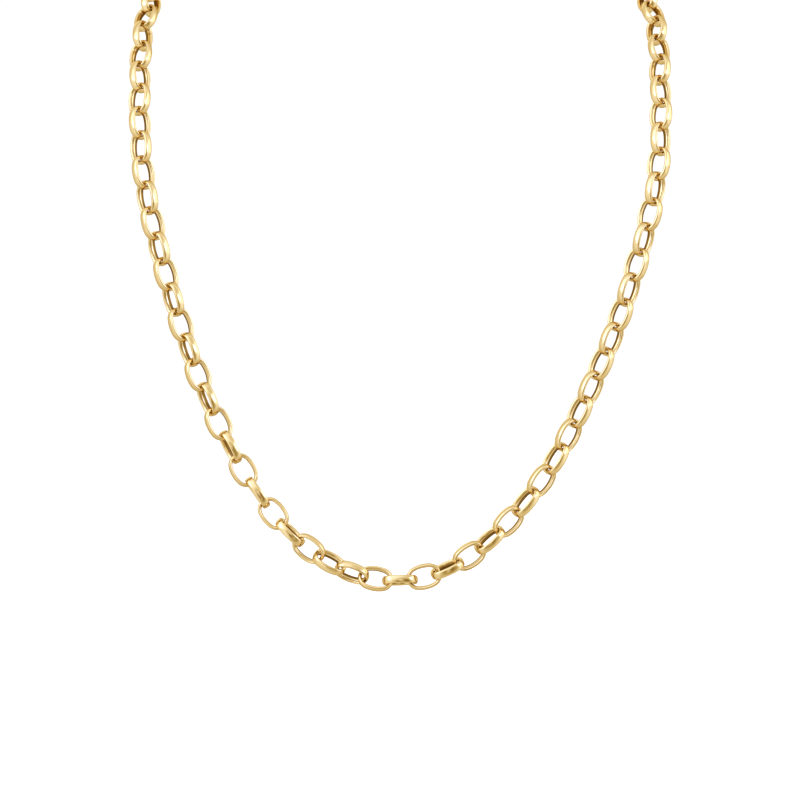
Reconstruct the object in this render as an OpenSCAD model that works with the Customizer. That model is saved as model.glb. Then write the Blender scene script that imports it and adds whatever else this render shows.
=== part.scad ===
// Rolo chain: a necklace of oval belcher links, in the U that it takes when worn.
// Millimetres. Z is up and the front faces -Y. The origin lies in the middle of the neck.

/* [Links] */
// Length of a link, along the chain
link_len = 8.96; // [8.2:0.04:10]
// Width of a link, across its oval face
link_w = 6.44; // [5.6:0.04:7.2]
// Thickness of a link's metal, as its oval face shows it
link_wall = 0.9; // [0.6:0.02:0.96]
// Width of a link's band, along the link's own axis
link_band = 2; // [1.6:0.05:2.4]
// Radius of the crown on the outer and inner face of the band
crown_r = 2.1; // [1.5:0.1:3]
// Room between two links, short of where they would pull tight
link_play = 0.45; // [0.4:0.05:0.7]

/* [Clasp] */
// Outside diameter of the clasp's ring
clasp_d = 12; // [10:0.5:14]
// Diameter of the tube that the clasp's ring is made of
clasp_tube = 2; // [1.6:0.1:2.4]
// Diameter of the bolt that closes the ring
bolt_d = 1.2; // [0.8:0.1:1.5]
// Angle that the bolt shows between the tube's two ends
bolt_angle = 44; // [30:1:60]
// Direction of the bolt's middle, round the ring from the eye
bolt_at = 60; // [50:1:110]
// Height of the thumb tab above the tube
tab_h = 1.3; // [0.8:0.1:2]
// Diameter of the thumb tab
tab_d = 1; // [0.8:0.1:1.4]
// Inside diameter of the clasp's eye
eye_d = 2; // [1.8:0.1:2.6]
// Diameter of the wire of the eye
eye_wire = 1; // [0.8:0.1:1.4]
// Depth that the eye is soldered into the tube
eye_sink = 0.8; // [0.6:0.05:1]

/* [Jump rings] */
// Diameter of the wire of the jump rings
ring_wire = 1.1; // [0.8:0.1:1.2]
// Room between a jump ring and each thing that it holds
ring_play = 0.35; // [0.25:0.05:0.5]

/* [Hidden] */
GOLD = [0.85, 0.72, 0.4];
round_fn = 64;
crown_fn = 180;

// The chain's middle line, from its lowest point up the right side, round the nape and down the left
ROUTE = [
    [0, -48, -107.5], [13, -48, -104], [25.5, -47.5, -94.5], [37.5, -46.5, -79.5],
    [47.5, -45.5, -60], [57, -44, -36], [64.5, -41, -7.5], [66, -33, 17],
    [65, -18, 37], [59, 2, 49], [46, 20, 54.5], [27, 32.5, 56.5],
    [0, 38, 57], [-27, 32.5, 56.5], [-46, 20, 54.5], [-59, 2, 49],
    [-65, -18, 37], [-66, -33, 16], [-64, -41, -9], [-56.5, -44, -38.5],
    [-48, -45.5, -62.5], [-38, -46.5, -82], [-26.5, -47.5, -96.5], [-13.5, -48, -105],
];
FRONT = [0, -1, 0];
route_steps = 16;

// Spacing as a share of the full pitch: [links from the lowest one, share], plus to the right
SPACING = [[-7, 1], [-4.5, 0.93], [0, 0.92], [2, 0.94], [4, 0.99], [6, 1]];

// A link's oval is four arcs. They meet on lines in the direction of the 7, 24, 25 triangle's long
// side and hypotenuse, which is exact in decimals, so that each arc ends just where the next begins.
JOINT = [0.28, 0.96];
half_len = (link_len - link_wall) / 2;
half_w = (link_w - link_wall) / 2;
arc_step = (half_len - half_w) / (JOINT.x + JOINT.y - 1);
link_end_r = half_len - JOINT.x * arc_step;
link_side_r = link_end_r + arc_step;

// Metal that two crossed bands take from each other's room at their edges
half_band = link_band / 2;
end_in_r = link_end_r - link_wall / 2;
edge_loss = max(0, dip(end_in_r, half_band) - dip(crown_r, half_band));
pitch = link_len - 2 * link_wall - 2 * edge_loss - link_play;

// The fastening: how far each piece stands from the next, along the route
clasp_r = (clasp_d - clasp_tube) / 2;
eye_r = (eye_d + eye_wire) / 2;
eye_x = clasp_d / 2 - eye_sink + eye_r + eye_wire / 2;
ring_in_r = (clasp_tube + link_wall + 3 * ring_play) / 2;
ring_r = ring_in_r + ring_wire / 2;
link_to_ring = link_len / 2 - link_wall + ring_in_r - ring_play;
ring_to_clasp = ring_in_r + clasp_r - clasp_tube / 2 - ring_play;
clasp_to_ring = eye_x + eye_d / 2 + ring_in_r - ring_play;
fastening = 2 * link_to_ring + ring_to_clasp + clasp_to_ring;

// The round line through the route's points, and its length so far at each of its own points
LINE = [for (i = [0 : len(ROUTE)], j = [0 : route_steps - 1]) if (i < len(ROUTE) || j == 0)
    curve(i, j / route_steps)];
RUN = [for (i = 0, s = 0; i < len(LINE); s = s + step(i), i = i + 1) s];
TRACK = [for (axis = [0 : 2]) [for (i = [0 : len(LINE) - 1]) [RUN[i], LINE[i][axis]]]];
loop_len = RUN[len(RUN) - 1];
side_len = (loop_len - fastening) / 2;

// Links on each side of the lowest one: an even count, so that both end links lie flat
link_count = max(count_for(1, 2), count_for(-1, 2));

// Turn of the links about the route: [links from the lowest one, degrees], plus to the right
TURN = [
    [-link_count, 90], [-17, 43], [-14, 37], [-12, 33], [-10, 26], [-8, 14],
    [-6, 1], [-4, -20], [-2, -50], [0, -80], [2, -106], [4, -116],
    [6, -120], [8, -124], [12, -131], [16, -137], [18, -140], [link_count, -90],
];

function dip(r, half) = r - sqrt(r ^ 2 - half ^ 2);
function unit(v) = v / norm(v);
function square_to(v, t) = unit(v - t * (v * t));

function knot(i) = ROUTE[(i + len(ROUTE)) % len(ROUTE)];
function curve(i, t) = blend(knot(i - 1), knot(i), knot(i + 1), knot(i + 2), t);
function blend(a, b, c, d, t) =
    (2 * b + (c - a) * t + (2 * a - 5 * b + 4 * c - d) * t ^ 2 + (3 * b - a - 3 * c + d) * t ^ 3) / 2;
function step(i) = i + 1 < len(LINE) ? norm(LINE[i + 1] - LINE[i]) : 0;
function at(w) = [for (axis = [0 : 2]) lookup((w + loop_len) % loop_len, TRACK[axis])];
function along(w) = unit(at(w + pitch / 2) - at(w - pitch / 2));

// Shares of the pitch from the lowest link out to each link of one side
function shares(side, count) =
    [for (k = 0, s = 0; k <= count; s = s + lookup(side * (k + 0.5), SPACING), k = k + 1) s];
function count_for(side, count) =
    shares(side, count)[count] * pitch >= side_len ? count : count_for(side, count + 2);
function stations(side) =
    let (s = shares(side, link_count))
    [for (k = [0 : link_count]) side * side_len * s[k] / s[link_count]];

// The face direction at the lowest link, carried out along the route without a twist of its own
function carry(u, a, b) = let (v = cross(a, b)) u * (a * b) + cross(v, u) + v * (v * u) / (1 + a * b);
function faces(w) = [
    for (k = 0, u = square_to(FRONT, along(w[0])); k < len(w);
        u = k + 1 < len(w) ? carry(u, along(w[k]), along(w[k + 1])) : u, k = k + 1) u];

STATIONS = [for (side = [1, -1]) stations(side)];
FACES = [for (i = [0, 1]) faces(STATIONS[i])];

// The fastening lies flat against the nape: its upright follows the end links of both sides.
// The jump rings stand straight on from the end links, and the clasp straight between them.
upright = FACES[0][link_count] + FACES[1][link_count];
across = unit(ring_at(1) - ring_at(-1));
spread = norm(ring_at(1) - ring_at(-1)) / (ring_to_clasp + clasp_to_ring);

function inwards(side) = side * along(side * side_len);
function ring_at(side) = at(side * side_len) + inwards(side) * link_to_ring;

module stand(c, x, y, z) {
    multmatrix([
        [x[0], y[0], z[0], c[0]],
        [x[1], y[1], z[1], c[1]],
        [x[2], y[2], z[2], c[2]],
    ]) children();
}

module band_section() {
    intersection() {
        translate([crown_r - link_wall / 2, 0]) circle(r = crown_r, $fn = crown_fn);
        translate([link_wall / 2 - crown_r, 0]) circle(r = crown_r, $fn = crown_fn);
        square([link_wall, link_band], center = true);
    }
}

// A band bent round a full circle, and the stretch of it inside an outline
module band_arc(r, outline) {
    intersection() {
        rotate_extrude($fn = round_fn) translate([r, 0]) band_section();
        linear_extrude(height = 2 * link_band, center = true) polygon(outline * 2 * link_len);
    }
}

// One oval link, its length along X and its axis along Z: two round ends and two flatter sides
module link() {
    end_outline = [[0, 0], JOINT, [1, JOINT.y], [1, -JOINT.y], [JOINT.x, -JOINT.y]];
    side_outline = [[0, 0], JOINT, [-JOINT.x, JOINT.y]];
    for (s = [0, 180]) rotate(s) {
        translate([JOINT.x * arc_step, 0]) band_arc(link_end_r, end_outline);
        translate([0, -JOINT.y * arc_step]) band_arc(link_side_r, side_outline);
    }
}

// Link k from the lowest one, every second link turned a quarter round
module placed_link(k) {
    i = k < 0 ? 1 : 0;
    w = STATIONS[i][abs(k)];
    t = along(w);
    u = FACES[i][abs(k)];
    turn = lookup(k, TURN) + 90 * (abs(k) % 2);
    z = u * cos(turn) + cross(u, t) * sin(turn);
    stand(at(w), t, cross(z, t), z) link();
}

module chain_right() {
    color(GOLD) for (k = [0 : link_count]) placed_link(k);
}

module chain_left() {
    color(GOLD) for (k = [1 : link_count]) placed_link(-k);
}

module wire_ring(r, wire, angle = 360) {
    rotate_extrude(angle = angle, $fn = round_fn) translate([r, 0]) circle(d = wire, $fn = round_fn);
}

// A place in the fastening, upright on its own X
module fastened(c, x) {
    y = square_to(upright, x);
    stand(c, x, y, cross(x, y)) children();
}

// A bolt ring: a round tube closed by a thinner bolt, with a thumb tab and an eye
module clasp() {
    tab_top = clasp_tube / 2 + tab_h - tab_d / 2;
    color(GOLD) fastened(ring_at(-1) + across * ring_to_clasp * spread, across) {
        rotate(bolt_at + bolt_angle / 2) wire_ring(clasp_r, clasp_tube, 360 - bolt_angle);
        rotate(bolt_at - bolt_angle / 2) wire_ring(clasp_r, bolt_d, bolt_angle);
        translate([eye_x, 0, 0]) wire_ring(eye_r, eye_wire);
        rotate(bolt_at + bolt_angle) translate([clasp_r, 0, 0]) rotate([0, 90, 0]) {
            cylinder(h = tab_top, d = tab_d, $fn = round_fn);
            translate([0, 0, tab_top]) sphere(d = tab_d, $fn = round_fn);
        }
    }
}

module jump_ring(side) {
    color(GOLD) fastened(ring_at(side), inwards(side)) rotate([90, 0, 0]) wire_ring(ring_r, ring_wire);
}

module jump_ring_left() {
    jump_ring(-1);
}

module jump_ring_right() {
    jump_ring(1);
}

chain_left();
chain_right();
clasp();
jump_ring_left();
jump_ring_right();
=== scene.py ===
"""The looks of a worn gold rolo chain: its oval links, its jump rings and its bolt ring clasp."""

import logging
import math
from dataclasses import dataclass, field
from enum import Enum

import bmesh
import bpy
import numpy as np
from mathutils import Matrix, Vector


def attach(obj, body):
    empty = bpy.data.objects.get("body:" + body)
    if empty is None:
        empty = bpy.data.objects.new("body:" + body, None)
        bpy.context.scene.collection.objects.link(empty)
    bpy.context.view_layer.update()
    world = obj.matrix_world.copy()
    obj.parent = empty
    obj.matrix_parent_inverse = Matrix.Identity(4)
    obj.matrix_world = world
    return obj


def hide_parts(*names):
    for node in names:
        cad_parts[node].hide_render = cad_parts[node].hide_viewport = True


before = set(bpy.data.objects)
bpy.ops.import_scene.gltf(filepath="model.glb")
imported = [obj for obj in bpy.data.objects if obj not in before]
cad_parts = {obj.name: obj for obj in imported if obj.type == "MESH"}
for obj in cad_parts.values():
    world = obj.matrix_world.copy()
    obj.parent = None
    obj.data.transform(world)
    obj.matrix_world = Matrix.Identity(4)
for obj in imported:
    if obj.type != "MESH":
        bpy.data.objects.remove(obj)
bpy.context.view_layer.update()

LOG = logging.getLogger("rolo_chain")
MM = 0.001
BODY = "root"
WELD = 1e-6  # points closer than this, in metres, are one point

Colour = tuple[float, float, float, float]
Triple = tuple[float, float, float]
Range = tuple[float, float]


class Side(Enum):
    """The two halves of the chain, seen from its front."""

    LEFT = "left"
    RIGHT = "right"


class TreeKind(Enum):
    """The kinds of node tree that this script builds."""

    GEOMETRY = "GeometryNodeTree"
    SHADER = "ShaderNodeTree"


class Tree:
    """Short calls for building a node tree."""

    def __init__(self, tree: bpy.types.NodeTree) -> None:
        """Take over a tree, empty or with its first nodes.

        Args:
            tree: The node tree to build in.
        """
        self.tree = tree
        self.entry: bpy.types.Node | None = None
        self.exit: bpy.types.Node | None = None

    @classmethod
    def group(cls, name: str, kind: TreeKind) -> "Tree":
        """Make a node group with its two end nodes.

        Args:
            name: The group's name.
            kind: Geometry or shader.

        Returns:
            The new tree.
        """
        made = cls(bpy.data.node_groups.new(name, kind.value))
        made.entry = made.tree.nodes.new("NodeGroupInput")
        made.exit = made.tree.nodes.new("NodeGroupOutput")
        return made

    def takes(self, name: str, kind: str, default: object = None) -> None:
        """Add a named input to the group.

        Args:
            name: The input's name.
            kind: Its socket type.
            default: The value it has where nothing is given.
        """
        socket = self.tree.interface.new_socket(name, in_out="INPUT", socket_type=kind)
        if default is not None:
            socket.default_value = default

    def gives(self, name: str, kind: str) -> None:
        """Add a named output of a socket type to the group."""
        self.tree.interface.new_socket(name, in_out="OUTPUT", socket_type=kind)

    def add(self, kind: str, settings: dict | None = None, **inputs: object) -> bpy.types.Node:
        """Add a node, and set or link its inputs.

        Args:
            kind: The node's type.
            settings: Its own settings, by name.
            **inputs: Values or sockets for its inputs, by name with _ for a space.

        Returns:
            The new node.
        """
        node = self.tree.nodes.new(kind)
        for name, value in (settings or {}).items():
            setattr(node, name, value)
        for name, value in inputs.items():
            self.feed(node.inputs[name.replace("_", " ")], value)
        return node

    def feed(self, socket: bpy.types.NodeSocket, value: object) -> None:
        """Set an input, or link another node's output to it.

        Args:
            socket: The input.
            value: A plain value, or an output socket.
        """
        if isinstance(value, bpy.types.NodeSocket):
            self.tree.links.new(value, socket)
        else:
            socket.default_value = value

    def math(self, operation: str, *terms: object) -> bpy.types.NodeSocket:
        """Add a Math node.

        Args:
            operation: What it does, such as ADD.
            *terms: Its inputs, as values or sockets.

        Returns:
            Its output.
        """
        node = self.add("ShaderNodeMath", {"operation": operation})
        for socket, term in zip(node.inputs, terms):
            self.feed(socket, term)
        return node.outputs[0]

    def vector(self, x: object, y: object, z: object) -> bpy.types.NodeSocket:
        """Join three numbers, each a value or a socket, into a vector's output."""
        return self.add("ShaderNodeCombineXYZ", X=x, Y=y, Z=z).outputs[0]

    def choose(self, test: object, when_true: object, when_false: object) -> bpy.types.NodeSocket:
        """Choose between two numbers by a test that is 1 where it is true and 0 where it is not."""
        difference = self.math("SUBTRACT", when_true, when_false)
        return self.math("MULTIPLY_ADD", difference, test, when_false)

    def ramp(
        self, value: object, low: float, high: float, start: float = 0.0, end: float = 1.0
    ) -> bpy.types.NodeSocket:
        """Map a stretch of a value smoothly to another one.

        Args:
            value: The value's output.
            low: Where the stretch starts.
            high: Where it ends.
            start: What it is mapped to at its start.
            end: What it is mapped to at its end.

        Returns:
            The mapped value's output.
        """
        node = self.add("ShaderNodeMapRange", {"interpolation_type": "SMOOTHSTEP"})
        for socket, term in zip(node.inputs, (value, low, high, start, end)):
            self.feed(socket, term)
        return node.outputs[0]

    def mix(self, share: object, first: object, second: object) -> bpy.types.NodeSocket:
        """Mix two colours.

        Args:
            share: How much of the second colour there is, from 0 to 1.
            first: The first colour.
            second: The second colour.

        Returns:
            The mixed colour's output.
        """
        node = self.add("ShaderNodeMix", {"data_type": "RGBA"}, Factor=share)
        colours = [socket for socket in node.inputs if socket.type == "RGBA"]
        for socket, colour in zip(colours, (first, second)):
            self.feed(socket, colour)
        return next(socket for socket in node.outputs if socket.type == "RGBA")


@dataclass(frozen=True)
class Noise:
    """A cloudy pattern: density is its cells to the metre, and detail how many finer layers it has."""

    density: float
    detail: float

    def drawn(self, t: Tree, where: bpy.types.NodeSocket, scale: object = 1.0) -> bpy.types.NodeSocket:
        """Draw the pattern in a tree, its density multiplied by a scale."""
        density = t.math("MULTIPLY", scale, self.density)
        return t.add("ShaderNodeTexNoise", Vector=where, Scale=density, Detail=self.detail).outputs["Fac"]


@dataclass
class Effects:
    """Shader groups that more than one finish uses.

    film_clouds is where the random clouds of darker tone start and are whole, and what they add there;
    shade_edge is where the painted shade of a recess starts and is whole.
    """

    waves: Noise = Noise(600.0, 1.0)
    lines: Noise = Noise(2600.0, 3.0)
    line_stretch: Triple = (1.0, 9.0, 2.5)
    line_turn: Triple = (0.4, 0.9, 0.3)
    line_share: float = 0.1
    clouds: Noise = Noise(900.0, 4.0)
    film_and_shade: Noise = Noise(260.0, 3.0)
    film_clouds: tuple[float, float, float, float] = (0.35, 0.7, 0.0, 0.06)
    # painted shade: between these limits the recess mask turns the gold towards the deep colour
    shade_edge: Range = (0.45, 0.75)
    tone_share: float = 0.05
    polish: bpy.types.NodeTree = field(init=False)
    shading_tone: bpy.types.NodeTree = field(init=False)

    def __post_init__(self) -> None:
        """Build the groups once."""
        self.polish = self.polish_marks()
        self.shading_tone = self.painted_shade_tone()

    def polish_marks(self) -> bpy.types.NodeTree:
        """Fine lines and faint waves that polishing leaves in metal.

        Returns:
            A group that puts out a height and a roughness.
        """
        t = Tree.group("Polish marks", TreeKind.SHADER)
        t.takes("Scale", "NodeSocketFloat", 1.0)
        t.takes("Roughness", "NodeSocketFloat", 0.12)
        t.takes("Spread", "NodeSocketFloat", 0.05)
        t.gives("Height", "NodeSocketFloat")
        t.gives("Roughness", "NodeSocketFloat")
        place = t.add("ShaderNodeTexCoord").outputs["Object"]
        scale = t.entry.outputs["Scale"]
        stretched = t.add(
            "ShaderNodeMapping", Vector=place, Scale=self.line_stretch, Rotation=self.line_turn
        )
        fine = t.math("MULTIPLY", self.lines.drawn(t, stretched.outputs[0], scale), self.line_share)
        t.feed(t.exit.inputs["Height"], t.math("ADD", self.waves.drawn(t, place, scale), fine))
        share = t.math("SUBTRACT", self.clouds.drawn(t, place, scale), 0.5)
        uneven = t.math("MULTIPLY_ADD", share, t.entry.outputs["Spread"], t.entry.outputs["Roughness"])
        t.feed(t.exit.inputs["Roughness"], uneven)
        return t.tree

    def painted_shade_tone(self) -> bpy.types.NodeTree:
        """Painted shade in the recesses of the gold, with faint random clouds and a random tone for each
        link.

        Returns:
            A group that puts out a colour.
        """
        t = Tree.group("Painted shade and tone", TreeKind.SHADER)
        t.takes("Bright", "NodeSocketColor", (0.9, 0.72, 0.4, 1.0))
        t.takes("Deep", "NodeSocketColor", (0.6, 0.42, 0.16, 1.0))
        # Hollow is the mask of painted shade in recesses
        t.takes("Hollow", "NodeSocketFloat", 0.0)
        t.takes("Tone", "NodeSocketFloat", 0.5)
        t.gives("Color", "NodeSocketColor")
        place = t.add("ShaderNodeTexCoord").outputs["Object"]
        film_and_shade = t.ramp(self.film_and_shade.drawn(t, place), *self.film_clouds)
        # painted shade: recesses are darkened towards Deep, standing in for the shade between a link's walls
        hollow = t.ramp(t.entry.outputs["Hollow"], *self.shade_edge)
        toned = t.math("MULTIPLY_ADD", t.entry.outputs["Tone"], self.tone_share, film_and_shade)
        share = t.math("MINIMUM", t.math("ADD", hollow, toned), 1.0)
        t.feed(t.exit.inputs["Color"], t.mix(share, t.entry.outputs["Bright"], t.entry.outputs["Deep"]))
        return t.tree


@dataclass(frozen=True)
class GoldFinish:
    """A polished yellow gold, with its own tone, and painted shade in its recesses.

    bright is the clean metal, edge its tint at a glancing angle, and deep the dark brown of the painted shade
    in its recesses, which the random clouds also lean to; the painted shade is rougher by shade_roughness.
    mark_scale and mark_depth are those of the polish marks.
    """

    name: str
    bright: Colour
    edge: Colour
    roughness: float
    mark_scale: float
    mark_depth: float
    # deep: dark brown painted as shade in recesses, and the colour the random clouds lean to
    deep: Colour = (0.22, 0.108, 0.016, 1.0)
    shade_roughness: float = 0.15

    def material(self, effects: Effects) -> bpy.types.Material:
        """Build the finish.

        Args:
            effects: The shared shader groups.

        Returns:
            The material.
        """
        made = bpy.data.materials.new(self.name)
        made.use_nodes = True
        t = Tree(made.node_tree)
        shader = made.node_tree.nodes["Principled BSDF"]
        shader.inputs["Metallic"].default_value = 1.0
        shader.inputs["Specular Tint"].default_value = self.edge
        # this attribute carries the painted shade of recesses, which darkens the colour and adds roughness
        inner = t.add("ShaderNodeAttribute", {"attribute_name": "recess_shade"}).outputs["Fac"]
        tone = t.add("ShaderNodeAttribute", {"attribute_name": "link_tone"}).outputs["Fac"]
        colour = t.add("ShaderNodeGroup", {"node_tree": effects.shading_tone}, Hollow=inner, Tone=tone)
        colour.inputs["Bright"].default_value = self.bright
        colour.inputs["Deep"].default_value = self.deep
        marks = t.add("ShaderNodeGroup", {"node_tree": effects.polish}, Scale=self.mark_scale)
        marks.inputs["Roughness"].default_value = self.roughness
        t.feed(shader.inputs["Base Color"], colour.outputs[0])
        roughness = t.math("MULTIPLY_ADD", inner, self.shade_roughness, marks.outputs["Roughness"])
        t.feed(shader.inputs["Roughness"], roughness)
        bump = t.add("ShaderNodeBump", Strength=1.0, Distance=self.mark_depth, Height=marks.outputs["Height"])
        t.feed(shader.inputs["Normal"], bump.outputs[0])
        return made


LINK_GOLD = GoldFinish(
    "link gold",
    bright=(0.92, 0.715, 0.365, 1.0),
    edge=(0.82, 0.67, 0.38, 1.0),
    roughness=0.05,
    mark_scale=1.0,
    mark_depth=0.045 * MM,
)
RING_GOLD = GoldFinish(
    "ring gold",
    bright=(0.91, 0.705, 0.36, 1.0),
    edge=(0.82, 0.67, 0.38, 1.0),
    roughness=0.12,
    mark_scale=1.3,
    mark_depth=0.008 * MM,
)
CLASP_GOLD = GoldFinish(
    "clasp gold",
    bright=(0.9, 0.695, 0.355, 1.0),
    edge=(0.8, 0.65, 0.36, 1.0),
    roughness=0.14,
    mark_scale=0.9,
    mark_depth=0.01 * MM,
)


@dataclass(frozen=True)
class Place:
    """Where a rigid piece stands: its centre and its own three axes."""

    centre: Vector
    along: Vector
    across: Vector
    axis: Vector

    def matrix(self) -> Matrix:
        """Give the matrix that carries the piece's own space to the frame's."""
        turned = Matrix((self.along, self.across, self.axis)).transposed()
        return Matrix.Translation(self.centre) @ turned.to_4x4()

    def faced(self, towards: Vector) -> "Place":
        """Turn the piece over where its own axis points the other way.

        Args:
            towards: The direction that its axis should lean to.

        Returns:
            The same place, with its axis on that side.
        """
        if self.axis.dot(towards) >= 0.0:
            return self
        return Place(self.centre, self.along, -self.across, -self.axis)


def triangles(mesh: bpy.types.Mesh) -> tuple[np.ndarray, np.ndarray]:
    """Read a mesh as plain triangles.

    Args:
        mesh: The mesh.

    Returns:
        Its points, and the numbers of the three points of each triangle.
    """
    mesh.calc_loop_triangles()
    points = np.empty(len(mesh.vertices) * 3)
    mesh.vertices.foreach_get("co", points)
    corners = np.empty(len(mesh.loop_triangles) * 3, dtype=int)
    mesh.loop_triangles.foreach_get("vertices", corners)
    return points.reshape(-1, 3), corners.reshape(-1, 3)


class Solids:
    """The separate solids of a node of the frame, found again in its triangles."""

    def __init__(self, node: str) -> None:
        """Read the node's triangles and part them into solids.

        Args:
            node: The node's name in the frame.
        """
        points, corners = triangles(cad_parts[node].data)
        keys = np.round(points / WELD).astype(np.int64)
        _, first, same = np.unique(keys, axis=0, return_index=True, return_inverse=True)
        self.points = points[first]
        self.faces = same.reshape(-1)[corners]
        self.labels = self.joined()

    def joined(self) -> np.ndarray:
        """Label each point with the lowest point that its solid holds.

        Returns:
            One label for each point.
        """
        labels = np.arange(len(self.points))
        ends = np.concatenate([self.faces[:, [0, 1]], self.faces[:, [1, 2]]])
        while True:
            low = np.minimum(labels[ends[:, 0]], labels[ends[:, 1]])
            spread = labels.copy()
            np.minimum.at(spread, ends[:, 0], low)
            np.minimum.at(spread, ends[:, 1], low)
            spread = spread[spread]
            if np.array_equal(spread, labels):
                return labels
            labels = spread

    def places(self) -> list[Place]:
        """Find each solid's centre of volume and its axes, longest first.

        Returns:
            One place for each solid, in the order of their lowest points.
        """
        found = []
        owners = self.labels[self.faces[:, 0]]
        for label in np.unique(owners):
            found.append(self.place_of(self.points[self.faces[owners == label]]))
        return found

    @staticmethod
    def place_of(corners: np.ndarray) -> Place:
        """Work out a closed solid's centre of volume and its principal axes.

        Args:
            corners: The corners of its triangles, as triangles by corners by coordinates.

        Returns:
            The solid's place.
        """
        middle = corners.reshape(-1, 3).mean(axis=0)
        a, b, c = (corners - middle).transpose(1, 0, 2)
        volumes = np.einsum("ij,ij->i", a, np.cross(b, c)) / 6
        total = a + b + c
        centre = (total * volumes[:, None]).sum(axis=0) / 4 / volumes.sum()
        spread = sum(np.einsum("i,ij,ik->jk", volumes, p, p) for p in (a, b, c, total)) / 20
        spread = spread / volumes.sum() - np.outer(centre, centre)
        _, axes = np.linalg.eigh(spread)
        along, across = Vector(axes[:, 2]), Vector(axes[:, 1])
        return Place(Vector(centre + middle), along, across, along.cross(across))


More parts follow.
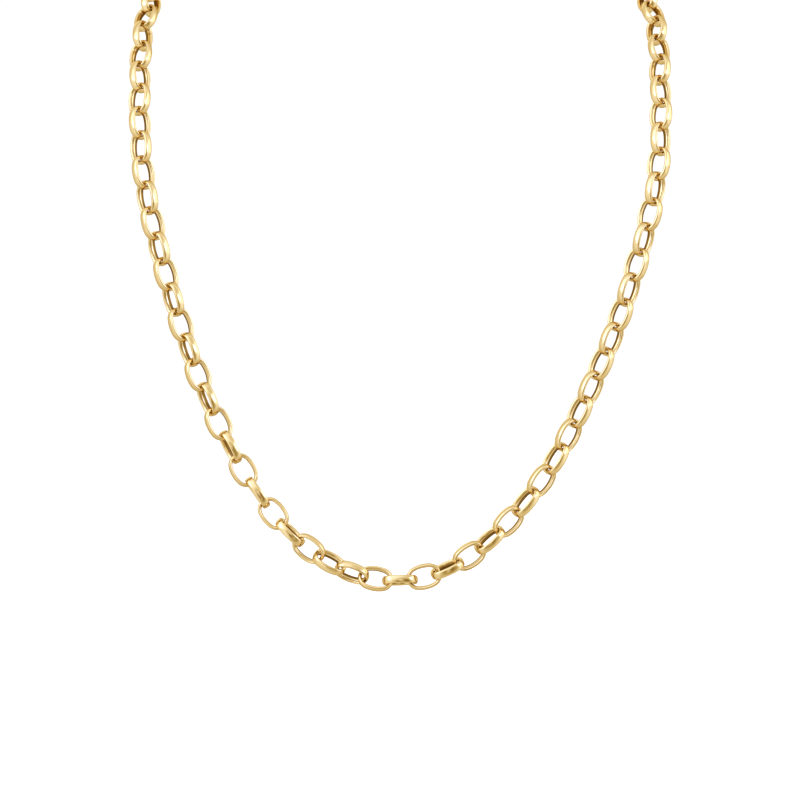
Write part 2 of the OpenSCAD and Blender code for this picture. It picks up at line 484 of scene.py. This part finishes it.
@dataclass
class OvalLinks:
    """One half of the chain: oval belcher links, swept from a crowned band section.

    The crowns are the powers of the section's two halves. inner_limits are cosines of the angle round the
    section between which its inner face sets in, and shade_limits heights along the link's own axis, as
    shares of the band, between which the painted shade on that face does.
    """

    side: Side
    length: float = 8.96 * MM
    width: float = 6.44 * MM
    wall: float = 0.9 * MM
    band: float = 2.0 * MM
    end_radius: float = 2.56 * MM
    outer_crown: float = 2.3
    inner_crown: float = 2.4
    inner_swell: float = 0.1 * MM
    inner_limits: Range = (-0.3, -0.7)
    # painted shade: the rear part of the inner face, along the link's axis, is painted dark
    shade_limits: Range = (-0.32, 0.2)
    round_steps: int = 72
    section_steps: int = 32
    seed: int = 7

    @property
    def node(self) -> str:
        """Name the node of the frame that this half stands for."""
        return f"chain_{self.side.value}"

    def sizes(self) -> dict[str, float]:
        """Name the numbers that the node tree takes, the whole ones as whole numbers."""
        return {
            "Length": self.length, "Width": self.width, "Wall": self.wall, "Band": self.band,
            "End Radius": self.end_radius, "Outer Crown": self.outer_crown, "Inner Crown": self.inner_crown,
            "Inner Swell": self.inner_swell, "Round Steps": self.round_steps,
            "Section Steps": self.section_steps, "Seed": self.seed,
        }

    def tree(self) -> Tree:
        """Build the node tree that sweeps one link and sets it at every place.

        Returns:
            The tree, with its sizes as named inputs.
        """
        t = Tree.group(f"Oval links {self.side.value}", TreeKind.GEOMETRY)
        t.takes("Places", "NodeSocketGeometry")
        for name, value in self.sizes().items():
            t.takes(name, "NodeSocketInt" if isinstance(value, int) else "NodeSocketFloat")
        t.takes("Finish", "NodeSocketMaterial")
        t.gives("Links", "NodeSocketGeometry")
        link = self.swept(t, self.oval_path(t), self.band_section(t))
        along = self.named(t, "along")
        axis = self.named(t, "axis")
        turn = t.add(
            "FunctionNodeAxesToRotation", {"primary_axis": "X", "secondary_axis": "Z"},
            Primary_Axis=along, Secondary_Axis=axis,
        )
        set_out = t.add(
            "GeometryNodeInstanceOnPoints",
            Points=t.entry.outputs["Places"], Instance=link, Rotation=turn.outputs[0],
        )
        tone = t.add("FunctionNodeRandomValue", {"data_type": "FLOAT"}, Seed=t.entry.outputs["Seed"])
        toned = t.add(
            "GeometryNodeStoreNamedAttribute", {"data_type": "FLOAT", "domain": "INSTANCE"},
            Geometry=set_out.outputs[0], Name="link_tone",
        )
        t.feed(toned.inputs["Value"], tone.outputs[1])
        real = t.add("GeometryNodeRealizeInstances", Geometry=toned.outputs[0])
        dressed = t.add(
            "GeometryNodeSetMaterial", Geometry=real.outputs[0], Material=t.entry.outputs["Finish"]
        )
        t.feed(t.exit.inputs["Links"], dressed.outputs[0])
        return t

    @staticmethod
    def named(t: Tree, name: str) -> bpy.types.NodeSocket:
        """Read a vector that the places carry under a name."""
        node = t.add("GeometryNodeInputNamedAttribute", {"data_type": "FLOAT_VECTOR"}, Name=name)
        return node.outputs["Attribute"]

    @staticmethod
    def round_angle(t: Tree) -> bpy.types.NodeSocket:
        """Give the angle of each point round a closed curve, in radians."""
        return t.math("MULTIPLY", t.add("GeometryNodeSplineParameter").outputs["Factor"], math.tau)

    def oval_path(self, t: Tree) -> bpy.types.NodeSocket:
        """Draw the middle line of a link: two round ends joined by two flatter arcs.

        Args:
            t: The tree.

        Returns:
            The closed curve's output.
        """
        size = t.entry.outputs
        half_length = t.math("MULTIPLY", t.math("SUBTRACT", size["Length"], size["Wall"]), 0.5)
        half_width = t.math("MULTIPLY", t.math("SUBTRACT", size["Width"], size["Wall"]), 0.5)
        end = size["End Radius"]
        reach = t.math("SUBTRACT", half_length, end)
        squares = t.math("ADD", t.math("MULTIPLY", reach, reach), t.math("MULTIPLY", half_width, half_width))
        squares = t.math("SUBTRACT", squares, t.math("MULTIPLY", end, end))
        doubled = t.math("MULTIPLY", t.math("SUBTRACT", half_width, end), 2.0)
        side_radius = t.math("DIVIDE", squares, doubled)
        drop = t.math("SUBTRACT", side_radius, half_width)
        side_angle = t.math("ARCTAN2", reach, drop)
        angle = self.round_angle(t)
        cosine, sine = t.math("COSINE", angle), t.math("SINE", angle)
        flat = t.math("GREATER_THAN", t.math("ABSOLUTE", sine), t.math("COSINE", side_angle))
        radius = t.choose(flat, side_radius, end)
        centre_x = t.choose(flat, 0.0, t.math("MULTIPLY", t.math("SIGN", cosine), reach))
        away = t.math("MULTIPLY", drop, -1.0)
        centre_y = t.choose(flat, t.math("MULTIPLY", t.math("SIGN", sine), away), 0.0)
        x = t.math("MULTIPLY_ADD", radius, cosine, centre_x)
        y = t.math("MULTIPLY_ADD", radius, sine, centre_y)
        circle = t.add("GeometryNodeCurvePrimitiveCircle", Resolution=size["Round Steps"])
        shaped = t.add("GeometryNodeSetPosition", Geometry=circle.outputs[0], Position=t.vector(x, y, 0.0))
        return t.add("GeometryNodeSetCurveNormal", {"mode": "Z_UP"}, Curve=shaped.outputs[0]).outputs[0]

    def band_section(self, t: Tree) -> bpy.types.NodeSocket:
        """Draw the section of the band, crowned outside and inside, with round edges.

        Args:
            t: The tree.

        Returns:
            The closed curve's output, which carries how far each point faces inwards, as the first share of
            the painted shade.
        """
        size = t.entry.outputs
        angle = self.round_angle(t)
        outside = t.math("GREATER_THAN", t.math("COSINE", angle), 0.0)
        power = t.math("DIVIDE", 2.0, t.choose(outside, size["Outer Crown"], size["Inner Crown"]))
        half_wall = t.math("MULTIPLY", size["Wall"], 0.5)
        half_wall = t.math("ADD", half_wall, t.choose(outside, 0.0, size["Inner Swell"]))
        half_band = t.math("MULTIPLY", size["Band"], 0.5)
        x, y = (
            t.math(
                "MULTIPLY",
                t.math("MULTIPLY", t.math("SIGN", share), t.math("POWER", t.math("ABSOLUTE", share), power)),
                half,
            )
            for share, half in ((t.math("COSINE", angle), half_wall), (t.math("SINE", angle), half_band))
        )
        circle = t.add("GeometryNodeCurvePrimitiveCircle", Resolution=size["Section Steps"])
        # painted shade mask, first share: the inner face of the section
        inner = t.ramp(t.math("COSINE", angle), *self.inner_limits)
        marked = t.add(
            "GeometryNodeStoreNamedAttribute", {"data_type": "FLOAT", "domain": "POINT"},
            Geometry=circle.outputs[0], Name="recess_shade",
        )
        t.feed(marked.inputs["Value"], inner)
        place = t.vector(x, y, 0.0)
        return t.add("GeometryNodeSetPosition", Geometry=marked.outputs[0], Position=place).outputs[0]

    def swept(
        self, t: Tree, path: bpy.types.NodeSocket, section: bpy.types.NodeSocket
    ) -> bpy.types.NodeSocket:
        """Sweep the section round the path, with painted shade on the rear half of its inner face.

        Args:
            t: The tree.
            path: The middle line.
            section: The band's section.

        Returns:
            The smooth link's output.
        """
        body = t.add("GeometryNodeCurveToMesh", Curve=path, Profile_Curve=section)
        parts = t.add("ShaderNodeSeparateXYZ", Vector=t.add("GeometryNodeInputPosition").outputs[0])
        inner = t.add("GeometryNodeInputNamedAttribute", {"data_type": "FLOAT"}, Name="recess_shade")
        # painted shade: the inner face's rear half is marked dark, standing in for the shade between the
        # link's walls
        to_rear = t.math("DIVIDE", parts.outputs["Z"], t.entry.outputs["Band"])
        film_and_shade = t.math("MULTIPLY", inner.outputs["Attribute"], t.ramp(to_rear, *self.shade_limits))
        marked = t.add(
            "GeometryNodeStoreNamedAttribute", {"data_type": "FLOAT", "domain": "POINT"},
            Geometry=body.outputs[0], Name="recess_shade",
        )
        t.feed(marked.inputs["Value"], film_and_shade)
        return t.add("GeometryNodeSetShadeSmooth", Geometry=marked.outputs[0]).outputs[0]

    def places(self) -> bpy.types.Object:
        """Set a point at each link of the frame's node, with its length and its inward axis on it.

        Returns:
            A mesh of single points.
        """
        # each axis is turned to one side here, which decides the half of the inner face that gets the painted
        # shade
        found = [p.faced(Vector((0.0, -p.centre.y, 0.0))) for p in Solids(self.node).places()]
        mesh = bpy.data.meshes.new(f"places_{self.side.value}")
        mesh.from_pydata([p.centre for p in found], [], [])
        for name, vectors in (("along", [p.along for p in found]), ("axis", [p.axis for p in found])):
            attribute = mesh.attributes.new(name, "FLOAT_VECTOR", "POINT")
            attribute.data.foreach_set("vector", [value for v in vectors for value in v])
        holder = bpy.data.objects.new(mesh.name, mesh)
        bpy.context.scene.collection.objects.link(holder)
        return holder

    def dress(self, finish: bpy.types.Material) -> bpy.types.Object:
        """Make the half's links as one mesh in place of the frame's node.

        Args:
            finish: The gold of the links.

        Returns:
            The finished piece.
        """
        holder = self.places()
        t = self.tree()
        modifier = holder.modifiers.new("Oval links", "NODES")
        modifier.node_group = t.tree
        values = {**self.sizes(), "Finish": finish}
        for item in t.tree.interface.items_tree:
            if item.in_out == "INPUT" and item.name in values:
                modifier[item.identifier] = values[item.name]
        mesh = plain_mesh(holder)
        bpy.data.objects.remove(holder)
        piece = bpy.data.objects.new(f"oval_links_{self.side.value}", mesh)
        return settle(piece, self.node)


class Casting:
    """Closed shapes gathered into one mesh, as soldered parts are."""

    def __init__(self) -> None:
        """Start with nothing in it."""
        self.points: list[np.ndarray] = []
        self.faces: list[tuple[int, ...]] = []
        self.hollow: list[np.ndarray] = []
        self.count = 0

    def cover(self, grid: np.ndarray, closed: bool, hollow: np.ndarray | None = None) -> None:
        """Cover rows of points with faces, and cap the two end rows of an open shape.

        Args:
            grid: The points, as rows by points round the row by coordinates.
            closed: Whether the last row joins the first.
            hollow: How deep each point lies in a recess, from 0 to 1, or None; the gold is darkened there as
                painted shade.
        """
        rows, sides = grid.shape[:2]
        number = np.arange(rows * sides).reshape(rows, sides) + self.count
        ahead = np.roll(number, -1, axis=0) if closed else number[1:]
        here = number if closed else number[:-1]
        quads = np.stack([here, np.roll(here, -1, axis=1), np.roll(ahead, -1, axis=1), ahead], axis=2)
        self.faces += [tuple(quad) for quad in quads.reshape(-1, 4).tolist()]
        if not closed:
            self.faces += [tuple(number[0].tolist()), tuple(number[-1].tolist())]
        self.points.append(grid.reshape(-1, 3))
        self.hollow.append(np.zeros(rows * sides) if hollow is None else hollow.reshape(-1))
        self.count += rows * sides

    def bent_tube(
        self, bend: float, angles: np.ndarray, radii: np.ndarray, centre: tuple[float, float], closed: bool,
        hollow: np.ndarray | None = None,
    ) -> None:
        """Add a tube bent round a circle in the XY plane.

        Args:
            bend: Radius of the tube's middle line.
            angles: The angle of each row round the circle, in radians.
            radii: The tube's radius at each point, as rows by points round the row.
            centre: The circle's centre.
            closed: Whether the tube goes all the way round.
            hollow: How deep each point lies in a recess, from 0 to 1, or None; the gold is darkened there as
                painted shade.
        """
        around = np.linspace(0, math.tau, radii.shape[1], endpoint=False)
        reach = bend + radii * np.cos(around)
        turn = angles[:, None]
        x = centre[0] + reach * np.cos(turn)
        y = centre[1] + reach * np.sin(turn)
        self.cover(np.stack([x, y, radii * np.sin(around)], axis=2), closed, hollow)

    def turned(self, profile: list[tuple[float, float]], foot: Vector, up: Vector, sides: int = 40) -> None:
        """Add a shape turned on a lathe.

        Args:
            profile: Its radius and height, from its foot to its top.
            foot: Where its axis starts.
            up: The direction of its axis.
            sides: Points round its axis.
        """
        up = up.normalized()
        first = up.orthogonal().normalized()
        second = up.cross(first)
        around = np.linspace(0, math.tau, sides, endpoint=False)[None, :, None]
        radius, height = (np.array(column)[:, None, None] for column in zip(*profile))
        ring = np.cos(around) * np.array(first) + np.sin(around) * np.array(second)
        self.cover(np.array(foot) + radius * ring + height * np.array(up), False)

    def piece(
        self, name: str, place: Place, finish: bpy.types.Material, crease: float = 32.0
    ) -> bpy.types.Object:
        """Pour what was gathered into one object.

        Args:
            name: The piece's name.
            place: Where it stands.
            finish: Its material.
            crease: The angle, in degrees, past which an edge is shown sharp.

        Returns:
            The piece, with its place in its mesh.
        """
        mesh = bpy.data.meshes.new(name)
        mesh.from_pydata(np.concatenate(self.points).tolist(), [], self.faces)
        # painted shade: the recess depth, which the gold darkens towards its deep colour
        depth = mesh.attributes.new("recess_shade", "FLOAT", "POINT")
        depth.data.foreach_set("value", np.concatenate(self.hollow))
        mesh.transform(place.matrix())
        work = bmesh.new()
        work.from_mesh(mesh)
        bmesh.ops.recalc_face_normals(work, faces=work.faces)
        work.to_mesh(mesh)
        work.free()
        mesh.shade_smooth()
        mesh.set_sharp_from_angle(angle=math.radians(crease))
        mesh.materials.append(finish)
        return bpy.data.objects.new(name, mesh)


def hump(value: np.ndarray, half_width: float) -> np.ndarray:
    """Give a smooth hump of height 1 at zero that ends at a half width to each side.

    Args:
        value: Distances from its middle.
        half_width: Where it ends.

    Returns:
        The hump's height at each distance.
    """
    share = np.clip(np.abs(value) / half_width, 0, 1)
    return (1 - share * share) ** 2


def plateau(value: np.ndarray, half_width: float, edge: float) -> np.ndarray:
    """Give 1 inside a half width, 0 outside, and a short slope between.

    Args:
        value: Distances from its middle.
        half_width: Where the slope has its middle.
        edge: The slope's length.

    Returns:
        The height at each distance.
    """
    return np.clip((half_width - np.abs(value)) / edge + 0.5, 0, 1)


@dataclass
class JumpRing:
    """A plain wire ring that holds one end of the chain, soldered shut at its seam."""

    side: Side
    inside: float = 3.95 * MM
    wire: float = 1.1 * MM
    seam_at: float = 70.0
    seam_swell: float = 0.03 * MM
    seam_groove: float = 0.035 * MM
    swell_reach: float = 16.0
    groove_reach: float = 4.0
    round_steps: int = 180
    wire_sides: int = 40

    @property
    def node(self) -> str:
        """Name the node of the frame that this ring stands for."""
        return f"jump_ring_{self.side.value}"

    def place(self) -> Place:
        """Find the ring's centre and axis, with its X along the chain.

        Returns:
            The ring's place.
        """
        found = Solids(self.node).places()[0]
        along = Vector((1.0, 0.0, 0.0))
        along = (along - found.axis * along.dot(found.axis)).normalized()
        return Place(found.centre, along, found.axis.cross(along), found.axis)

    def dress(self, finish: bpy.types.Material) -> bpy.types.Object:
        """Make the ring in place of the frame's node.

        Args:
            finish: The gold of the ring.

        Returns:
            The finished piece.
        """
        bend = (self.inside + self.wire) / 2
        angles = np.linspace(0, math.tau, self.round_steps, endpoint=False) + math.radians(self.seam_at)
        from_seam = np.remainder(angles - math.radians(self.seam_at) + math.pi, math.tau) - math.pi
        swell = self.seam_swell * hump(from_seam, math.radians(self.swell_reach))
        groove = self.seam_groove * hump(from_seam, math.radians(self.groove_reach))
        radii = np.repeat((self.wire / 2 + swell - groove)[:, None], self.wire_sides, axis=1)
        casting = Casting()
        casting.bent_tube(bend, angles, radii, (0.0, 0.0), True)
        return settle(casting.piece(self.node + "_wire", self.place(), finish), self.node)


@dataclass
class BoltRing:
    """The clasp: a hollow ring closed by a sprung bolt, with its thumb tab, slot and soldered eye.

    Angles are in degrees round the ring from its eye. tab_neck holds the neck's radius and its distance
    below the tab's top, in radii of the tab's head, and tab_dome the turn in radians at which the head
    starts and ends. The solder's sizes are shares of the eye's wire.
    """

    outside: float = 12 * MM
    tube: float = 2 * MM
    bolt: float = 1.2 * MM
    bolt_from: float = 38.0
    bolt_to: float = 82.0
    tab_at: float = 104.0
    tab_height: float = 1.3 * MM
    tab_width: float = 1 * MM
    slot_to: float = 137.0
    slot_width: float = 0.62 * MM
    slot_depth: float = 0.32 * MM
    slot_end_slope: float = 0.14 * MM
    slot_side_slope: float = 0.12 * MM
    rim: float = 0.16 * MM
    groove_at: float = 0.8 * MM
    groove_reach: float = 0.224 * MM
    groove_depth: float = 0.07 * MM
    tab_sink: float = 0.2 * MM
    tab_neck: tuple[Range, ...] = ((0.62, 1.9), (0.8, 1.5))
    tab_dome: Range = (-0.5, 1.5)
    eye_inside: float = 2 * MM
    eye_wire: float = 1 * MM
    eye_sink: float = 0.8 * MM
    solder_sink: float = 0.45
    solder_radius: float = 0.78
    solder_taper: float = 0.3
    solder_curve: float = 0.6
    solder_height: float = 0.62
    sides: int = 64
    wire_sides: int = 40
    body_rows: int = 320
    bolt_rows: int = 60
    eye_rows: int = 120
    dome_rows: int = 16
    solder_rows: int = 12
    node: str = "clasp"

    @property
    def bend(self) -> float:
        """Give the radius of the tube's middle line."""
        return (self.outside - self.tube) / 2

    def place(self) -> Place:
        """Find the clasp: X towards its eye, which is on the right, and Y towards its tab.

        Returns:
            The clasp's place.
        """
        solids = Solids(self.node)
        left, right = (JumpRing(side).place().centre for side in Side)
        along = (right - left).normalized()
        axis = solids.places()[0].axis
        across = axis.cross(along).normalized()
        heights = solids.points @ np.array(across)
        middle = float(np.dot((left + right) / 2, across))
        if heights.max() - middle < middle - heights.min():
            across = -across
            heights = -heights
        axis = along.cross(across)
        reach = float((solids.points @ np.array(along)).min()) + self.outside / 2
        rise = float(heights.min()) + self.outside / 2
        depths = solids.points @ np.array(axis)
        depth = float(depths.min() + depths.max()) / 2
        return Place(along * reach + across * rise + axis * depth, along, across, axis)

    def body(self, casting: Casting) -> None:
        """Add the hollow ring, with its rims at the bolt and the slot of its tab.

        Args:
            casting: What the shapes are gathered in.
        """
        start, end = math.radians(self.bolt_to), math.radians(360 + self.bolt_from)
        rim = self.rim / self.bend
        angles = np.concatenate([[start], np.linspace(start + rim, end - rim, self.body_rows), [end]])
        around = np.linspace(0, math.tau, self.sides, endpoint=False)
        from_end = self.bend * np.minimum(angles - start, end - angles)
        chamfer = self.rim * (1 - np.clip(from_end / self.rim, 0, 1))
        groove = self.groove_depth * hump(from_end - self.groove_at, self.groove_reach)
        middle = math.radians((self.tab_at + self.slot_to) / 2)
        half = math.radians((self.slot_to - self.tab_at) / 2)
        lengthwise = plateau(self.bend * (angles - middle), self.bend * half, self.slot_end_slope)
        outer = np.where(np.cos(around) > 0, np.sin(around) * self.tube / 2, self.tube)
        crosswise = plateau(outer, self.slot_width / 2, self.slot_side_slope)
        slot = lengthwise[:, None] * crosswise[None, :]
        radii = self.tube / 2 - (chamfer + groove)[:, None] - self.slot_depth * slot
        # the slot is passed as a recess, so painted shade darkens its floor
        casting.bent_tube(self.bend, angles, radii, (0.0, 0.0), False, slot)

    def closing_bolt(self, casting: Casting) -> None:
        """Add the thinner bolt that spans the opening and runs into both ends of the ring.

        Args:
            casting: What the shapes are gathered in.
        """
        margin = self.tube / 2 / self.bend
        start, end = math.radians(self.bolt_from), math.radians(self.bolt_to)
        angles = np.linspace(start - margin, end + margin, self.bolt_rows)
        radii = np.full((len(angles), self.sides), self.bolt / 2)
        casting.bent_tube(self.bend, angles, radii, (0.0, 0.0), False)

    def tab(self, casting: Casting) -> None:
        """Add the thumb tab: a short neck and a round head.

        Args:
            casting: What the shapes are gathered in.
        """
        angle = math.radians(self.tab_at)
        outward = Vector((math.cos(angle), math.sin(angle), 0.0))
        head = self.tab_width / 2
        top = self.tube / 2 + self.tab_height
        neck = [(radius * head, top - below * head) for radius, below in self.tab_neck]
        foot = (neck[0][0], self.tube / 2 - self.tab_sink)
        dome = [
            (head * math.cos(turn), top - head + head * math.sin(turn))
            for turn in np.linspace(*self.tab_dome, self.dome_rows)
        ]
        casting.turned([foot, *neck, *dome], outward * self.bend, outward)

    def eye(self, casting: Casting) -> None:
        """Add the eye and the solder that holds it to the ring.

        Args:
            casting: What the shapes are gathered in.
        """
        bend = (self.eye_inside + self.eye_wire) / 2
        centre = self.outside / 2 - self.eye_sink + bend + self.eye_wire / 2
        angles = np.linspace(0, math.tau, self.eye_rows, endpoint=False)
        radii = np.full((len(angles), self.wire_sides), self.eye_wire / 2)
        casting.bent_tube(bend, angles, radii, (centre, 0.0), True)
        foot = self.outside / 2 - self.solder_sink * self.eye_wire
        solder = [
            (
                self.eye_wire * (self.solder_radius - self.solder_taper * share**self.solder_curve),
                self.eye_wire * self.solder_height * share,
            )
            for share in np.linspace(0, 1, self.solder_rows)
        ]
        casting.turned(solder, Vector((foot, 0.0, 0.0)), Vector((1.0, 0.0, 0.0)))

    def dress(self, finish: bpy.types.Material) -> bpy.types.Object:
        """Make the clasp in place of the frame's node.

        Args:
            finish: The gold of the clasp.

        Returns:
            The finished piece.
        """
        casting = Casting()
        self.body(casting)
        self.closing_bolt(casting)
        self.tab(casting)
        self.eye(casting)
        return settle(casting.piece("bolt_ring_clasp", self.place(), finish), self.node)


def plain_mesh(holder: bpy.types.Object) -> bpy.types.Mesh:
    """Turn what an object's modifiers make into a mesh of its own, facing outwards.

    Args:
        holder: The object that has the modifiers.

    Returns:
        The plain mesh.
    """
    bpy.context.view_layer.update()
    evaluated = holder.evaluated_get(bpy.context.evaluated_depsgraph_get())
    mesh = bpy.data.meshes.new_from_object(evaluated)
    if signed_volume(mesh) < 0:
        mesh.flip_normals()
    return mesh


def signed_volume(mesh: bpy.types.Mesh) -> float:
    """Add up the volume that a mesh's faces hold, below zero where they face inwards.

    Args:
        mesh: A closed mesh.

    Returns:
        The volume in cubic metres.
    """
    points, corners = triangles(mesh)
    a, b, c = points[corners].transpose(1, 0, 2)
    return float(np.einsum("ij,ij->", a, np.cross(b, c)) / 6)


def settle(piece: bpy.types.Object, node: str) -> bpy.types.Object:
    """Put a finished piece in the scene in place of a node.

    Args:
        piece: The piece, with its place in its mesh.
        node: The node of the frame that it stands for.

    Returns:
        The same piece.
    """
    bpy.context.scene.collection.objects.link(piece)
    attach(piece, BODY)
    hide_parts(node)
    return piece


@dataclass(frozen=True)
class Card:
    """A soft-edged patch of the tent, darker or brighter than its walls.

    edge and core are angles from its middle, in degrees, at which it sets in and is whole. level is what it
    multiplies the wall's light by.
    """

    towards: Triple
    edge: float
    core: float
    level: float

    def share(self, t: Tree, where: bpy.types.NodeSocket) -> bpy.types.NodeSocket:
        """Work out what the patch leaves of the wall's light in each direction.

        Args:
            t: The world's tree.
            where: The direction's output.

        Returns:
            The output of a factor that is 1 off the patch.
        """
        facing = t.add("ShaderNodeVectorMath", {"operation": "DOT_PRODUCT"})
        t.feed(facing.inputs[0], where)
        t.feed(facing.inputs[1], tuple(Vector(self.towards).normalized()))
        start, end = (math.cos(math.radians(angle)) for angle in (self.edge, self.core))
        return t.ramp(facing.outputs["Value"], start, end, 1.0, self.level)


@dataclass(frozen=True)
class SoftBox:
    """A square soft light."""

    name: str
    place: Triple
    size: float
    power: float

    def hang(self, aim: Triple) -> None:
        """Hang the light in the scene.

        Args:
            aim: The point that it shines at.
        """
        data = bpy.data.lights.new(self.name, "AREA")
        data.shape = "SQUARE"
        data.size = self.size
        data.energy = self.power
        light = bpy.data.objects.new(self.name, data)
        light.location = self.place
        light.rotation_euler = (Vector(aim) - Vector(self.place)).to_track_quat("-Z", "Y").to_euler()
        bpy.context.scene.collection.objects.link(light)


@dataclass(frozen=True)
class Studio:
    """The plain studio: a pale floor, a light tent with soft patches, two soft boxes and the camera.

    frame_width is what the camera sees across at camera_plane. low_to_high is the tent's light at its bottom
    and its top, and back_level what is left of it behind the necklace. The two limits are how far up and
    how far forward a direction leans where they change. warmth gives the powers that tint a light level in
    green and blue, so that darker means more golden.
    """

    camera_plane: float = -47 * MM
    camera_distance: float = 1.0
    camera_height: float = -62.5 * MM
    frame_width: float = 0.2
    sensor: float = 36.0
    nearest: float = 0.05
    floor_height: float = -0.17
    floor_size: float = 30.0
    paper: Colour = (0.95, 0.95, 0.95, 1.0)
    paper_roughness: float = 0.9
    paper_glow: float = 0.3
    backdrop: Colour = (1.05, 1.05, 1.05, 1.0)
    low_to_high: Range = (0.9, 1.05)
    height_limits: Range = (-0.9, 0.9)
    back_level: float = 0.79
    back_limits: Range = (-0.4, 0.3)
    cards: tuple[Card, ...] = (
        Card((0.25, -1.0, -0.18), 46.0, 18.0, 0.62),
        Card((0.6, -0.8, -0.3), 36.0, 10.0, 0.84),
        Card((0.2, -0.6, -0.8), 42.0, 12.0, 0.78),
        Card((0.5, -0.45, 0.75), 26.0, 8.0, 0.78),
        Card((-0.6, -0.55, 0.6), 50.0, 15.0, 1.2),
        Card((0.95, 0.1, 0.15), 50.0, 20.0, 1.2),
        Card((-1.0, 0.1, -0.1), 45.0, 15.0, 1.05),
        Card((-0.6, -0.7, -0.4), 22.0, 8.0, 1.15),
        Card((-0.75, -0.59, 0.29), 20.0, 7.0, 1.5),
        Card((0.75, -0.59, 0.29), 20.0, 7.0, 1.7),
        Card((0.05, -1.0, 0.08), 12.0, 4.0, 1.6),
        Card((0.36, -1.0, 0.02), 12.0, 5.0, 0.58),
        Card((-0.12, -1.0, -0.26), 12.0, 5.0, 0.62),
        Card((0.22, -1.0, -0.44), 12.0, 4.0, 1.5),
        Card((0.5, -1.0, -0.3), 11.0, 4.0, 0.6),
        Card((0.15, 1.0, -0.25), 42.0, 15.0, 0.85),
        Card((-0.4, 0.8, 0.45), 24.0, 8.0, 1.4),
    )
    warmth: Range = (1.3, 2.2)
    aim: Triple = (0.0, 0.0, -0.03)
    boxes: tuple[SoftBox, ...] = (
        SoftBox("box_left", (-0.72, -0.34, 0.45), 0.55, 0.6),
        SoftBox("box_right", (0.9, 0.05, 0.3), 0.6, 0.7),
    )

    def camera(self) -> None:
        """Set the camera level, in front of the necklace."""
        data = bpy.data.cameras.new("camera")
        data.sensor_width = self.sensor
        data.lens = self.sensor * self.camera_distance / self.frame_width
        data.clip_start = self.nearest
        camera = bpy.data.objects.new("camera", data)
        camera.location = (0.0, self.camera_plane - self.camera_distance, self.camera_height)
        camera.rotation_euler = (math.radians(90), 0.0, 0.0)
        bpy.context.scene.collection.objects.link(camera)
        bpy.context.scene.camera = camera

    def floor(self) -> None:
        """Lay the pale floor below the necklace."""
        half = self.floor_size / 2
        square = ((-half, -half), (half, -half), (half, half), (-half, half))
        corners = [(x, y, self.floor_height) for x, y in square]
        mesh = bpy.data.meshes.new("floor")
        mesh.from_pydata(corners, [], [(0, 1, 2, 3)])
        paper = bpy.data.materials.new("white paper")
        paper.use_nodes = True
        shader = paper.node_tree.nodes["Principled BSDF"]
        shader.inputs["Base Color"].default_value = self.paper
        shader.inputs["Roughness"].default_value = self.paper_roughness
        shader.inputs["Specular IOR Level"].default_value = 0.0
        shader.inputs["Emission Color"].default_value = (1.0, 1.0, 1.0, 1.0)
        shader.inputs["Emission Strength"].default_value = self.paper_glow
        mesh.materials.append(paper)
        floor = bpy.data.objects.new("floor", mesh)
        floor.visible_glossy = False
        bpy.context.scene.collection.objects.link(floor)

    def tent(self) -> None:
        """Light everything from a pale tent, which the camera itself sees as plain white."""
        world = bpy.data.worlds.new("light tent")
        world.use_nodes = True
        t = Tree(world.node_tree)
        background = world.node_tree.nodes["Background"]
        where = t.add("ShaderNodeTexCoord").outputs["Generated"]
        parts = t.add("ShaderNodeSeparateXYZ", Vector=where)
        front = t.math("MULTIPLY", parts.outputs["Y"], -1.0)
        height = t.ramp(parts.outputs["Z"], *self.height_limits, *self.low_to_high)
        back = t.ramp(front, *self.back_limits, self.back_level, 1.0)
        level = t.math("MULTIPLY", height, back)
        for card in self.cards:
            level = t.math("MULTIPLY", level, card.share(t, where))
        inside = t.vector(level, *(t.math("POWER", level, power) for power in self.warmth))
        seen = t.add("ShaderNodeLightPath").outputs["Is Camera Ray"]
        t.feed(background.inputs["Color"], t.mix(seen, inside, self.backdrop))
        bpy.context.scene.world = world

    def build(self) -> None:
        """Set up the whole studio."""
        self.camera()
        self.floor()
        self.tent()
        for box in self.boxes:
            box.hang(self.aim)
        bpy.context.scene.view_settings.view_transform = "Standard"


def report(piece: bpy.types.Object) -> None:
    """Log a finished piece and how many faces it has."""
    LOG.info("%s: %d faces", piece.name, len(piece.data.polygons))


def main() -> None:
    """Build the studio and dress the necklace, piece by piece."""
    logging.basicConfig(level=logging.INFO, format="%(name)s: %(message)s")
    Studio().build()
    effects = Effects()
    link_gold, ring_gold, clasp_gold = (gold.material(effects) for gold in (LINK_GOLD, RING_GOLD, CLASP_GOLD))
    for side in Side:
        report(OvalLinks(side).dress(link_gold))
        report(JumpRing(side).dress(ring_gold))
    report(BoltRing().dress(clasp_gold))


if __name__ == "__main__":
    main()
